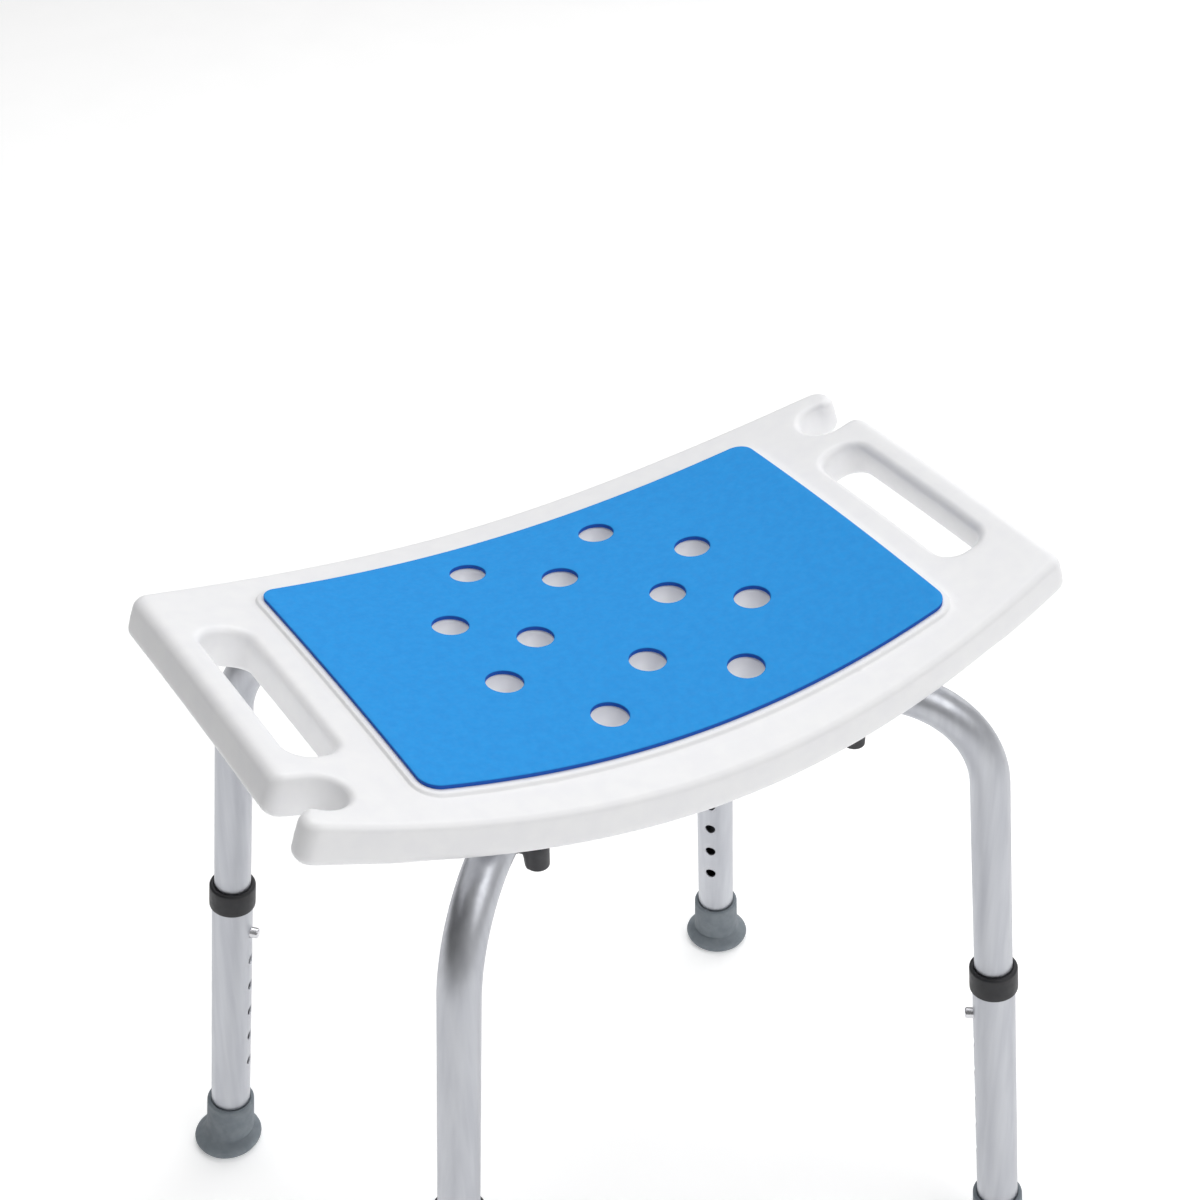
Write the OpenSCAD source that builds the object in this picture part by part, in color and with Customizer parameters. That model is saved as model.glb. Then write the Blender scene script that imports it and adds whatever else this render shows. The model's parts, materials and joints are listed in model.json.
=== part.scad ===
// Shower stool with an adjustable crossed-tube frame.
// Millimetres. Origin on the floor under the middle of the seat, +Z up,
// X along the seat's length, the front edge towards -Y.
// All four legs are drawn fully extended, with each snap button in its top hole.

/* [Seat] */
// Height of the cushion's top surface at the middle of the seat
seat_height = 506; // [490:1:520]
// Length of the seat along X
seat_length = 510; // [505:1:515]
// Width of the seat at its middle
seat_width = 314; // [312:1:318]
// Thickness of the moulded seat
seat_thick = 28; // [27:0.5:29]
// Radius of the dip along the seat's length
dip_radius = 830; // [800:10:900]
// Radius of the bow of the seat's long edges
edge_bow_radius = 1125; // [1080:5:1200]
// Radius of the seat's corners
seat_corner = 17; // [15:1:19]
// Wall of the hollow moulding
seat_wall = 3; // [2.5:0.5:3.5]

/* [Cushion pad] */
// Length of the pad along X
pad_length = 360; // [350:1:364]
// Width of the pad at its middle
pad_width = 246.5; // [240:0.5:248]
// Thickness of the foam pad
pad_thick = 3; // [2:0.5:3]
// Radius of the bow of the pad's long edges
pad_bow_radius = 1716; // [1650:10:1800]
// Radius of the pad's corners
pad_corner = 12; // [8:1:16]
// Radius of the round holes through the pad
drain_r = 11.5; // [11:0.5:12.5]

/* [Handles and notches] */
// Width of each hand slot
slot_width = 30; // [28:1:32]
// Length of each hand slot
slot_length = 142; // [136:1:150]
// Distance from the seat's end to the hand slot
handle_bar = 20; // [19:1:22]
// Distance of each hand slot's middle from the X axis
slot_offset = 8; // [6:1:9]
// Radius of the round notch at two opposite corners
notch_r = 15.5; // [14:0.5:16]

/* [Frame tubes] */
// Outer diameter of the bent frame tubes
tube_d = 25.4; // [25.2:0.1:25.5]
// Wall of the frame tubes
tube_wall = 1.3; // [1.2:0.1:1.4]
// Height of the tube axis below the cushion's top
tube_drop = 33.4; // [33:0.1:34]
// Direction of the tubes from the X axis, in degrees
tube_turn = 40.2; // [39.5:0.1:41]
// Distance of the leg's axis from the middle at the end of the bend
leg_reach = 246.5; // [244:0.5:248]
// Bend radius of the tube's axis
bend_radius = 70.5; // [68:0.5:72]
// Splay of the legs from upright, in degrees
splay = 6; // [5:0.1:6.5]

/* [Leg extensions] */
// Outer diameter of the lower leg tubes
lower_d = 28.6; // [28.6:0.1:28.8]
// Spacing of the height holes
hole_pitch = 25.4; // [25:0.1:25.6]
// Number of height holes
hole_count = 6; // [5:1:6]
// Radius of the snap button
button_r = 3.8; // [3.5:0.1:3.9]
// How far the snap button stands out of the lower tube
button_proud = 5.5; // [4.5:0.1:5.5]

/* [Hidden] */

$fn = 96;
clear = 0.05;          // gap between pieces that are fitted to each other
through = 1;           // overrun of a cutting shape past a face
plate = 400;           // half size of a blank that covers the whole seat

// Seat surfaces, as depths below the cushion's top, and their turning axis
plateau_depth = pad_thick;
margin_depth = plateau_depth + 2;
base_depth = margin_depth + seat_thick;
dip_axis_z = seat_height + dip_radius;
plateau_rim = 4.5;     // how far the raised field stands out past the pad

// Frame
tube_r = tube_d / 2;
tube_bore = tube_r - tube_wall;
groove_r = tube_r + 0.3;
tube_z = seat_height - tube_drop;
bend_angle = 90 - splay;
bend_start = leg_reach - bend_radius * sin(bend_angle);
bend_end_z = tube_z - bend_radius * (1 - cos(bend_angle));
upper_len = 242;       // straight leg of the frame tube below its bend
bend_thinner = 0.03;
notch_half = 18;       // half length of the pressed notch where the tubes cross
bolt_r = 3;
bolt_hole_r = 3.3;
knob_reach = 160;      // distance of each wing knob from the middle
insert_r = 5;
blow_hole_r = 2.5;

// Leg stations, measured down the leg from the end of the bend
collar_top = 152.5;
collar_len = 19;
collar_lip = 3.5;
collar_r = 16.1;
lower_top = collar_top + collar_lip;
button_at = 196;
lower_end = 400;
sleeve_top = 367;
lower_r = lower_d / 2;
lower_bore = tube_r + 0.3;
hole_r = button_r + 0.4;
sleeve_r = 17.4;
sole_r = 25;
floor_at = bend_end_z / cos(splay);
washer_thick = 1.5;
button_seat = tube_bore - 2.3;
spring_thick = 0.8;
spring_width = 8;

// Each leg's name and its direction from the middle, in degrees
function leg_turn(leg) =
    leg == "br" ? tube_turn :
    leg == "bl" ? 180 - tube_turn :
    leg == "fl" ? 180 + tube_turn :
    -tube_turn;

// Drain positions on the seat: five staggered columns, as [along, across]
drains = [
    for (column = [[-87.8, [-34.6, 34.6]], [-47.5, [-88.5, 0, 88.5]], [0, [-53.1, 53.1]],
                   [47.5, [-88.5, 0, 88.5]], [87.8, [-34.6, 34.6]]])
        for (across = column[1]) [column[0], across]
];

// ---- Helpers ----

// Rectangle whose long edges bow outwards, with round corners
module bowed_plan(length, width, bow, corner) {
    half = length / 2 - corner;
    reach = bow - corner;
    drop = bow - width / 2;
    intersection() {
        translate([0, -drop]) circle(r = bow, $fn = 360);
        translate([0, drop]) circle(r = bow, $fn = 360);
        union() {
            square([2 * half, 2 * plate], center = true);
            square([length, 2 * (sqrt(reach * reach - half * half) - drop)], center = true);
            for (sx = [-1, 1], sy = [-1, 1])
                translate([sx * half, sy * (sqrt(reach * reach - half * half) - drop)])
                    circle(r = corner);
        }
    }
}

// Slab that follows the seat's dip between two depths below the cushion's top
module curved_slab(top, bottom) {
    translate([0, plate, dip_axis_z])
        rotate([90, 0, 0])
            difference() {
                cylinder(r = dip_radius + bottom, h = 2 * plate, $fn = 720);
                translate([0, 0, -through])
                    cylinder(r = dip_radius + top, h = 2 * plate + 2 * through, $fn = 720);
            }
}

// Put the children on the seat, with their Z axis square to its surface
module on_seat(along, across) {
    translate([0, 0, dip_axis_z])
        rotate([0, -along / dip_radius * 180 / PI, 0])
            translate([0, across, -dip_radius])
                children();
}

// Put the children at a leg: X points away from the middle, Z runs up the leg
module at_leg(leg) {
    rotate([0, 0, leg_turn(leg)])
        translate([leg_reach, 0, bend_end_z])
            rotate([0, -splay, 0])
                children();
}

// Put the children under the seat where a wing knob holds the frame
module at_knob(leg) {
    rotate([0, 0, leg_turn(leg)]) translate([knob_reach, 0, tube_z]) children();
}

module ring(outer, inner, height) {
    difference() {
        cylinder(r = outer, h = height);
        translate([0, 0, -through]) cylinder(r = inner, h = height + 2 * through);
    }
}

// ---- Seat ----

module pad_plan(grow = 0) {
    bowed_plan(pad_length + 2 * grow, pad_width + 2 * grow, pad_bow_radius + grow, pad_corner + grow);
}

module seat_plan(inset = 0) {
    bowed_plan(seat_length - 2 * inset, seat_width - 2 * inset, edge_bow_radius - inset, seat_corner - inset);
}

// Outline of one hand slot and of the round notch beside it
module slot_plan(grow = 0) {
    corner = 13;
    middle = seat_length / 2 - handle_bar - slot_width / 2;
    for (sx = [-1, 1]) translate([sx * middle, -sx * slot_offset]) {
        square([slot_width + 2 * grow, slot_length - 2 * corner], center = true);
        square([slot_width - 2 * corner, slot_length + 2 * grow], center = true);
        for (cx = [-1, 1], cy = [-1, 1])
            translate([cx * (slot_width / 2 - corner), cy * (slot_length / 2 - corner)])
                circle(r = corner + grow);
    }
}

module notch_plan(grow = 0) {
    middle = [seat_length / 2 - handle_bar, 99];
    mouth = 25;
    for (turn = [0, 180]) rotate(turn) {
        translate(middle) circle(r = notch_r + grow);
        translate([middle[0], middle[1] - notch_r - grow])
            square([plate, mouth + 2 * grow]);
    }
}

// Straight groove in the underside for each frame tube, and a pocket at their crossing
module tube_grooves() {
    for (turn = [tube_turn, -tube_turn]) rotate([0, 0, turn])
        translate([-plate, 0, tube_z]) {
            rotate([0, 90, 0]) cylinder(r = groove_r, h = 2 * plate);
            translate([0, -groove_r, -plate])
                cube([2 * plate, 2 * groove_r, plate]);
        }
    pocket_top = tube_z + tube_r + 8;
    translate([0, 0, pocket_top - plate]) cylinder(r = 14, h = plate);
}

// Funnel and drain hole under each hole of the pad
module drain_cut() {
    mouth_r = drain_r - 0.5;
    throat_r = 5;
    funnel = 14;
    for (d = drains) on_seat(d[0], d[1]) {
        translate([0, 0, -funnel - plateau_depth])
            cylinder(r1 = throat_r, r2 = mouth_r, h = funnel);
        translate([0, 0, -2 * base_depth])
            cylinder(r = throat_r, h = 2 * base_depth - plateau_depth - funnel);
        translate([0, 0, -plateau_depth]) cylinder(r = mouth_r, h = 2 * plateau_depth);
    }
}

module insert_holes(radius, length) {
    for (leg = ["fl", "fr", "bl", "br"])
        at_knob(leg) translate([0, 0, tube_r - through]) cylinder(r = radius, h = length + through);
}

insert_len = 12;

module seat() {
    color("white")
        difference() {
            union() {
                intersection() {
                    curved_slab(margin_depth, base_depth);
                    translate([0, 0, seat_height - plate / 2]) linear_extrude(plate) seat_plan();
                }
                intersection() {
                    curved_slab(plateau_depth, margin_depth + through);
                    translate([0, 0, seat_height - plate / 2]) linear_extrude(plate) pad_plan(plateau_rim);
                }
            }
            translate([0, 0, seat_height - plate / 2]) linear_extrude(plate) {
                slot_plan();
                notch_plan();
            }
            tube_grooves();
            drain_cut();
            insert_holes(insert_r, insert_len);
            intersection() {
                curved_slab(margin_depth + seat_wall, base_depth - seat_wall);
                translate([0, 0, seat_height - plate / 2]) linear_extrude(plate) cavity_plan();
            }
            for (turn = [0:90:270]) rotate([0, 0, turn])
                translate([120, 0, 0]) cylinder(r = blow_hole_r, h = seat_height - base_depth / 2);
        }
}

module seat_pad() {
    color("dodgerblue")
        difference() {
            intersection() {
                curved_slab(0, pad_thick);
                translate([0, 0, seat_height - plate / 2]) linear_extrude(plate) pad_plan();
            }
            for (d = drains) on_seat(d[0], d[1])
                translate([0, 0, -2 * pad_thick]) cylinder(r = drain_r, h = 4 * pad_thick);
        }
}

// The four hollows of the moulding, between its walls, the tube grooves and the drains
module cavity_plan() {
    difference() {
        seat_plan(seat_wall);
        slot_plan(seat_wall);
        notch_plan(seat_wall);
        for (turn = [tube_turn, -tube_turn]) rotate(turn)
            square([2 * plate, 2 * (tube_r + seat_wall)], center = true);
        for (d = drains)
            translate([(dip_radius + plateau_depth) * sin(d[0] / dip_radius * 180 / PI), d[1]])
                circle(r = drain_r + 2);
    }
}

// Threaded inserts moulded into the seat for the four knob screws
module seat_inserts() {
    color("goldenrod")
        for (leg = ["fl", "fr", "bl", "br"])
            at_knob(leg) translate([0, 0, groove_r]) ring(insert_r, bolt_r + clear, tube_r + insert_len - groove_r);
}

// ---- Frame ----

// One bent tube from foot to foot, of the given radius, as a solid bar.
// The bends are a hair thinner, so that their ends sit inside the straight lengths.
module bent_bar(radius, tail) {
    overlap = 1;
    run = bend_start + overlap;
    translate([-run, 0, 0]) rotate([0, 90, 0]) cylinder(r = radius, h = 2 * run);
    for (turn = [0, 180]) rotate([0, 0, turn]) {
        translate([bend_start, 0, -bend_radius])
            rotate([90, 0, 0])
                rotate([0, 0, splay])
                    rotate_extrude(angle = bend_angle)
                        translate([bend_radius, 0]) circle(r = radius - bend_thinner);
        translate([leg_reach, 0, bend_end_z - tube_z]) rotate([0, -splay, 0])
            translate([0, 0, -tail]) cylinder(r = radius, h = tail + overlap);
    }
}

// Frame tube; up is 1 for the tube whose underside is pressed in at the crossing
module frame_tube(up) {
    color("silver") difference() {
        difference() {
            bent_bar(tube_r, upper_len);
            pressed_box(up, notch_half, 0);
        }
        difference() {
            bent_bar(tube_bore, upper_len + through);
            pressed_box(up, notch_half + tube_wall, tube_wall);
        }
        translate([0, 0, -plate]) cylinder(r = bolt_hole_r, h = 2 * plate);
        for (turn = [0, 180]) rotate([0, 0, turn]) {
            translate([knob_reach, 0, -2 * tube_r]) cylinder(r = bolt_hole_r, h = 4 * tube_r);
            translate([leg_reach, 0, bend_end_z - tube_z]) rotate([0, -splay, 0])
                translate([0, 0, -button_at]) rotate([0, -90, 0]) cylinder(r = hole_r, h = 2 * tube_r);
        }
    }
}

// Half space that the press takes from a tube at the crossing
module pressed_box(up, half, skin) {
    mirror([0, 0, up > 0 ? 0 : 1])
        translate([-half, -2 * tube_r, -plate + skin + clear]) cube([2 * half, 4 * tube_r, plate]);
}

module frame_tube_a() { translate([0, 0, tube_z]) rotate([0, 0, tube_turn]) frame_tube(1); }
module frame_tube_b() { translate([0, 0, tube_z]) rotate([0, 0, -tube_turn]) frame_tube(-1); }

// Pad that carries a flat fastener face against the round tube
module saddle(radius, thick) {
    difference() {
        cylinder(r = radius, h = thick + tube_r);
        rotate([0, 90, 0]) translate([-thick - tube_r, 0, -2 * radius]) cylinder(r = tube_r + clear, h = 4 * radius);
        translate([0, 0, -through]) cylinder(r = bolt_hole_r, h = 4 * tube_r);
        translate([-2 * radius, -2 * radius, thick + 4]) cube([4 * radius, 4 * radius, tube_r]);
    }
}

saddle_thick = 2.4;

module cross_saddles() {
    color("dimgray") translate([0, 0, tube_z]) {
        rotate([0, 0, -tube_turn]) translate([0, 0, -tube_r - saddle_thick]) saddle(9, saddle_thick);
        rotate([0, 0, tube_turn]) mirror([0, 0, 1])
            translate([0, 0, -tube_r - saddle_thick]) saddle(9, saddle_thick);
    }
}

// Round-headed bolt that ties the two tubes together where they cross
module cross_bolt() {
    stack = tube_r + saddle_thick;
    head_r = 5.5;
    head_h = 3.3;
    color("silver") translate([0, 0, tube_z - stack]) {
        cylinder(r = bolt_r, h = 2 * stack + 4.5);
        translate([0, 0, -head_h]) intersection() {
            cylinder(r = head_r, h = head_h);
            translate([0, 0, head_r + 1]) sphere(r = head_r + 1);
        }
    }
}

module cross_nut() {
    stack = tube_r + saddle_thick;
    color("silver") translate([0, 0, tube_z + stack]) difference() {
        cylinder(r = 5.77, h = 5, $fn = 6);
        translate([0, 0, -through]) cylinder(r = bolt_r + clear, h = 5 + 2 * through);
    }
}

// ---- Wing knobs under the seat ----

ear_reach = 15.2;      // distance of each ear's middle from the screw
ear_r = 7.15;
knob_h = 16;
web_h = 5.5;           // thickness of the web that joins the ears
web_half = 6.5;
hub_r = 9;
screw_grip = 4.5;      // length of the screw inside the web
knob_top = -tube_r - saddle_thick;

module knob_saddle(leg) {
    color("dimgray") at_knob(leg) translate([0, 0, knob_top]) saddle(8.5, saddle_thick);
}

// Round hub and web with an ear hanging down at each end, moulded around the screw
module wing_knob(leg) {
    color([0.25, 0.25, 0.26]) at_knob(leg) translate([0, 0, knob_top - knob_h]) difference() {
        union() {
            translate([0, 0, knob_h - web_h]) {
                cylinder(r = hub_r, h = web_h);
                translate([-web_half, -ear_reach, 0]) cube([2 * web_half, 2 * ear_reach, web_h]);
            }
            for (side = [-1, 1]) translate([0, side * ear_reach, 0]) cylinder(r = ear_r, h = knob_h);
        }
        translate([0, 0, knob_h - screw_grip]) cylinder(r = bolt_r + clear, h = knob_h);
    }
}

module knob_screw(leg) {
    depth = screw_grip - clear;
    reach = tube_r + insert_len - 1;
    color("silver") at_knob(leg) translate([0, 0, knob_top - depth])
        cylinder(r = bolt_r, h = depth - knob_top + reach);
}

// ---- Leg extensions ----

module lower_tube(leg) {
    color("silver") at_leg(leg) difference() {
        translate([0, 0, -lower_end]) ring(lower_r, lower_bore, lower_end - lower_top);
        for (k = [0:hole_count - 1]) translate([0, 0, -button_at - k * hole_pitch])
            rotate([0, -90, 0]) cylinder(r = hole_r, h = 2 * lower_r);
    }
}

// Plastic bush: a sleeve over the lower tube with a lip around the upper one
module collar(leg) {
    round = 2;
    color([0.22, 0.22, 0.24]) at_leg(leg) translate([0, 0, -collar_top - collar_len]) difference() {
        union() {
            cylinder(r = collar_r, h = collar_len - round);
            translate([0, 0, collar_len - round]) cylinder(r = collar_r - round, h = round);
            translate([0, 0, collar_len - round]) rotate_extrude()
                translate([collar_r - round, 0]) intersection() {
                    circle(r = round);
                    square(round);
                }
        }
        translate([0, 0, -through]) cylinder(r = lower_r + clear, h = collar_len - collar_lip + through);
        cylinder(r = tube_r + clear, h = collar_len + through);
    }
}

// Rubber tip: a sleeve in line with the leg on a level round sole
module foot(leg) {
    color("slategray") difference() {
        union() {
            intersection() {
                at_leg(leg) translate([0, 0, -floor_at - sole_r]) cylinder(r = sleeve_r, h = floor_at + sole_r - sleeve_top);
                translate([-plate, -plate, 0]) cube([2 * plate, 2 * plate, plate]);
            }
            rotate([0, 0, leg_turn(leg)])
                translate([leg_reach + floor_at * sin(splay) + 1, 0, 0])
                    rotate_extrude() sole_profile();
        }
        at_leg(leg) translate([0, 0, -lower_end - washer_thick - 0.1])
            cylinder(r = lower_r + clear, h = plate);
    }
}

// Half section of the sole: a flat tread, a round rim and a sloping shoulder
module sole_profile() {
    rim = 3.5;
    shoulder = 14;
    square([sole_r - rim, 2 * rim]);
    translate([sole_r - rim, rim]) circle(r = rim);
    polygon([[0, rim], [sole_r - rim / 2, 1.8 * rim], [sleeve_r + 1.5, shoulder - 2], [sleeve_r - 1, shoulder], [0, shoulder]]);
}

module foot_washer(leg) {
    color("gray") at_leg(leg) translate([0, 0, -lower_end - washer_thick - 0.05])
        ring(lower_r - 0.3, 5, washer_thick);
}

// Round-nosed pin with a retaining flange inside the upper tube
module snap_button(leg) {
    nose = lower_r + button_proud;
    dome = 2.4;
    seat_x = button_seat;
    color("lightgray") at_leg(leg) translate([0, 0, -button_at]) rotate([0, -90, 0]) {
        translate([0, 0, seat_x]) cylinder(r = button_r + 1.2, h = 1);
        translate([0, 0, seat_x]) cylinder(r = button_r, h = nose - dome - seat_x);
        translate([0, 0, nose - dome]) rotate_extrude() {
            square([button_r - dome, dome]);
            translate([button_r - dome, 0]) intersection() {
                circle(r = dome);
                square(dome);
            }
        }
    }
}

// Leaf spring folded into a U that pushes the button out of the tube
module snap_spring(leg) {
    near = button_seat - clear;
    bow = 9.75;
    long_leg = 20;
    color("gray") at_leg(leg) translate([0, spring_width / 2, -button_at]) rotate([90, 0, 0])
        linear_extrude(spring_width) {
            translate([-near, -long_leg]) square([spring_thick, long_leg + 5]);
            translate([2 * bow - near - spring_thick, -long_leg]) square([spring_thick, long_leg - 4]);
            translate([bow - near, -long_leg]) difference() {
                circle(r = bow);
                circle(r = bow - spring_thick);
                translate([-2 * bow, 0]) square([4 * bow, 2 * bow]);
            }
        }
}

seat();
seat_pad();
seat_inserts();
frame_tube_a();
frame_tube_b();
cross_bolt();
cross_nut();
cross_saddles();
for (leg = ["fl", "fr", "bl", "br"]) {
    lower_tube(leg);
    collar(leg);
    foot(leg);
    foot_washer(leg);
    snap_button(leg);
    snap_spring(leg);
    wing_knob(leg);
    knob_screw(leg);
    knob_saddle(leg);
}
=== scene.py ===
import json
import math

import bpy
import numpy as np
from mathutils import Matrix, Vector
from mathutils.geometry import delaunay_2d_cdt


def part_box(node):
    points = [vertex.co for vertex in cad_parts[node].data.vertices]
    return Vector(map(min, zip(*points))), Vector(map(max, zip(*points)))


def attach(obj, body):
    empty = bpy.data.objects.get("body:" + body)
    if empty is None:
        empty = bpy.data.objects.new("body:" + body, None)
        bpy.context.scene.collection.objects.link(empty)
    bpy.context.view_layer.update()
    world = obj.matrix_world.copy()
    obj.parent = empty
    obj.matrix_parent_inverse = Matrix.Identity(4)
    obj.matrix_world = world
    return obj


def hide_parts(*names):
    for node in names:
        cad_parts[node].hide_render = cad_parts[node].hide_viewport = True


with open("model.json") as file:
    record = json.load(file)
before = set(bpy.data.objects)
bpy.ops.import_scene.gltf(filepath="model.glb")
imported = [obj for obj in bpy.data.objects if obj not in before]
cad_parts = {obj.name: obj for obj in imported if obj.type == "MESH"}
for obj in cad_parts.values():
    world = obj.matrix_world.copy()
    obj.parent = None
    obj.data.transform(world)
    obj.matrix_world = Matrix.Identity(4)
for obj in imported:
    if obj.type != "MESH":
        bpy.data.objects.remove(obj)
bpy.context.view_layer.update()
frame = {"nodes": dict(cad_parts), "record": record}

# Points are worked out in millimetres, with the stool's origin on the floor
# under the middle of the seat, and turned into metres when a mesh is made.
MM = 0.001
LEGS = ("fl", "fr", "bl", "br")

# ---- Sizes read from the frame ----


def box_mm(node):
    low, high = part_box(node)
    return np.array(low) / MM, np.array(high) / MM


def joint(name):
    return next(j for j in frame["record"]["behaviour"]["joints"] if j["name"] == name)


seat_high = box_mm("seat")[1]
pad_low, pad_high = box_mm("seat_pad")
HALF_LENGTH = seat_high[0]
HALF_WIDTH = seat_high[1]
PAD_HALF_LENGTH = pad_high[0]
PAD_HALF_WIDTH = pad_high[1]

# ---- Shapes of the seat, which the frame's boxes don't give ----

DIP_RADIUS = 830.0        # dip along the seat's length, at the pad's top
EDGE_BOW = 1175.0         # bow of the seat's long edges
CORNER = 10.0             # the seat's corners in plan
PAD_BOW = 1716.0          # bow of the pad's long edges
PAD_CORNER = 12.0
PAD_THICK = 3.0
STEP = 2.0                # height of the raised field that carries the pad
THICK = 28.0
PLATEAU_RIM = 4.5         # how far the raised field stands out past the pad
SEAT_TOP = pad_low[2] + PAD_THICK
DIP_AXIS_Z = SEAT_TOP + DIP_RADIUS
MARGIN_DEPTH = PAD_THICK + STEP
BASE_DEPTH = MARGIN_DEPTH + THICK
DRAIN_R = 11.5
DRAIN_THROAT = 5.0
CROWN = 3.8               # rise of the seat's middle above the plain dip, at half length
CROWN_HALF = 99.0         # distance from the middle where the crown meets the plain dip
CROWN_AT_ENDS = 0.35      # share of the crown that is left at the seat's ends

# ---- Leg frame: a tube's run, bend and splayed leg, in its own upright plane ----

leg_axis = np.array(joint("leg_height_br")["axis"])
knob_pos = np.array(joint("knob_turn_br")["pos_m"]) / MM
TURN = math.atan2(knob_pos[1], knob_pos[0])
SPLAY = math.atan2(math.hypot(leg_axis[0], leg_axis[1]), leg_axis[2])
TUBE_Z = knob_pos[2]
KNOB_REACH = math.hypot(knob_pos[0], knob_pos[1])
TUBE_R = 12.7
TUBE_WALL = 1.3
LOWER_R = 14.3
BEND_R = 70.5
LEG_REACH = 246.5
BEND_ANGLE = math.pi / 2 - SPLAY
BEND_START = LEG_REACH - BEND_R * math.sin(BEND_ANGLE)
BEND_END_Z = TUBE_Z - BEND_R * (1 - math.cos(BEND_ANGLE))
HOLE_PITCH = 25.4
HOLE_COUNT = 6
BUTTON_AT = 196.0
HOLE_R = 4.2
LOWER_TOP = 156.0
LOWER_END = 400.0
FLOOR_AT = BEND_END_Z / math.cos(SPLAY)
LEG_TURNS = {"br": TURN, "bl": math.pi - TURN, "fl": math.pi + TURN, "fr": -TURN}

# ---- Mesh helpers ----


def add_piece(name, points, faces, material, body, replaces=(), sharp=40):
    """One mesh from points in millimetres, riding on a body, in place of CAD nodes."""
    mesh = bpy.data.meshes.new(name)
    mesh.from_pydata((np.asarray(points, float) * MM).tolist(), [], [list(map(int, f)) for f in faces])
    mesh.validate()
    mesh.shade_smooth()
    mesh.set_sharp_from_angle(angle=math.radians(sharp))
    mesh.materials.append(material)
    piece = bpy.data.objects.new(name, mesh)
    bpy.context.collection.objects.link(piece)
    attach(piece, body)
    if replaces:
        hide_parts(*replaces)
    return piece


def skin_rows(rows, closed=True, first=0):
    """Faces between rows of equal length; the outside is to the right of each row's run."""
    count = len(rows[0])
    faces = []
    for k in range(len(rows) - 1):
        for i in range(count if closed else count - 1):
            j = (i + 1) % count
            a, b = first + k * count, first + (k + 1) * count
            faces.append((a + i, b + i, b + j, a + j))
    return faces


def tangents(points):
    step = np.roll(points, -1, axis=0) - np.roll(points, 1, axis=0)
    return step / np.linalg.norm(step, axis=1)[:, None]


def left_normals(points):
    t = tangents(points)
    return np.stack([-t[:, 1], t[:, 0]], axis=1)


def arc(cx, cy, radius, start, end, spacing):
    """Points along an arc, angles in degrees, without its last point."""
    count = max(3, int(abs(math.radians(end - start)) * radius / spacing) + 1)
    angles = np.radians(np.linspace(start, end, count, endpoint=False))
    return np.stack([cx + radius * np.cos(angles), cy + radius * np.sin(angles)], axis=1)


def line(x0, y0, x1, y1, spacing):
    count = max(1, int(math.hypot(x1 - x0, y1 - y0) / spacing))
    t = np.linspace(0, 1, count, endpoint=False)[:, None]
    return np.array([[x0, y0]]) * (1 - t) + np.array([[x1, y1]]) * t


def inside(points, loops):
    """Which points lie inside the outer loop and outside the holes (even-odd rule)."""
    odd = np.zeros(len(points), bool)
    x, y = points[:, 0], points[:, 1]
    for loop in loops:
        nxt = np.roll(loop, -1, axis=0)
        for (ax, ay), (bx, by) in zip(loop, nxt):
            if ay == by:
                continue
            hit = (ay > y) != (by > y)
            odd ^= hit & (x < (bx - ax) * (y - ay) / (by - ay) + ax)
    return odd


def distance_to(points, loops):
    """Distance from each point to the nearest point of any loop."""
    every = np.concatenate(loops)
    best = np.full(len(points), 1e9)
    for start in range(0, len(every), 200):
        part = every[start:start + 200]
        gap = np.linalg.norm(points[:, None] - part[None], axis=2)
        best = np.minimum(best, gap.min(axis=1))
    return best


def grid(low, high, spacing):
    xs = np.arange(low[0], high[0] + spacing, spacing)
    ys = np.arange(low[1], high[1] + spacing, spacing)
    x, y = np.meshgrid(xs, ys)
    return np.stack([x.ravel(), y.ravel()], axis=1)


def fill(loops, extra):
    """Triangles over the loops' points and the extra points, with the holes left open."""
    coords = np.concatenate(list(loops) + [extra])
    edges = []
    first = 0
    for loop in loops:
        edges += [(first + i, first + (i + 1) % len(loop)) for i in range(len(loop))]
        first += len(loop)
    out = delaunay_2d_cdt([Vector(c) for c in coords.tolist()], edges, [], 0, 1e-7, True)
    source = [ids[0] if ids else -1 for ids in out[3]]
    triangles = np.array([[source[v] for v in f] for f in out[2]])
    triangles = triangles[(triangles >= 0).all(axis=1)]
    keep = inside(coords[triangles].mean(axis=1), loops)
    return triangles[keep]


def plate(edges, top_extra, bottom_extra, top, bottom):
    """Closed solid between two surfaces. Each edge is its rows, from the top's rim to the bottom's."""
    points = []
    faces = []
    first = 0
    for rows in edges:
        points += list(rows)
        faces += skin_rows(rows, first=first)
        first += len(rows) * len(rows[0])
    firsts = np.cumsum([0] + [len(r) * len(r[0]) for r in edges])[:-1]
    for surface, extra, row, flip in ((top, top_extra, 0, False), (bottom, bottom_extra, -1, True)):
        loops = [r[row][:, :2] for r in edges]
        triangles = fill(loops, extra)
        ids = np.concatenate([f + (len(r) - 1 if row else 0) * len(r[0]) + np.arange(len(r[0]))
                              for f, r in zip(firsts, edges)] + [first + np.arange(len(extra))])
        points.append(np.column_stack([extra, surface(extra)]))
        first += len(extra)
        faces += [tuple(ids[t][::-1] if flip else ids[t]) for t in triangles]
    return np.concatenate(points), faces


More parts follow.
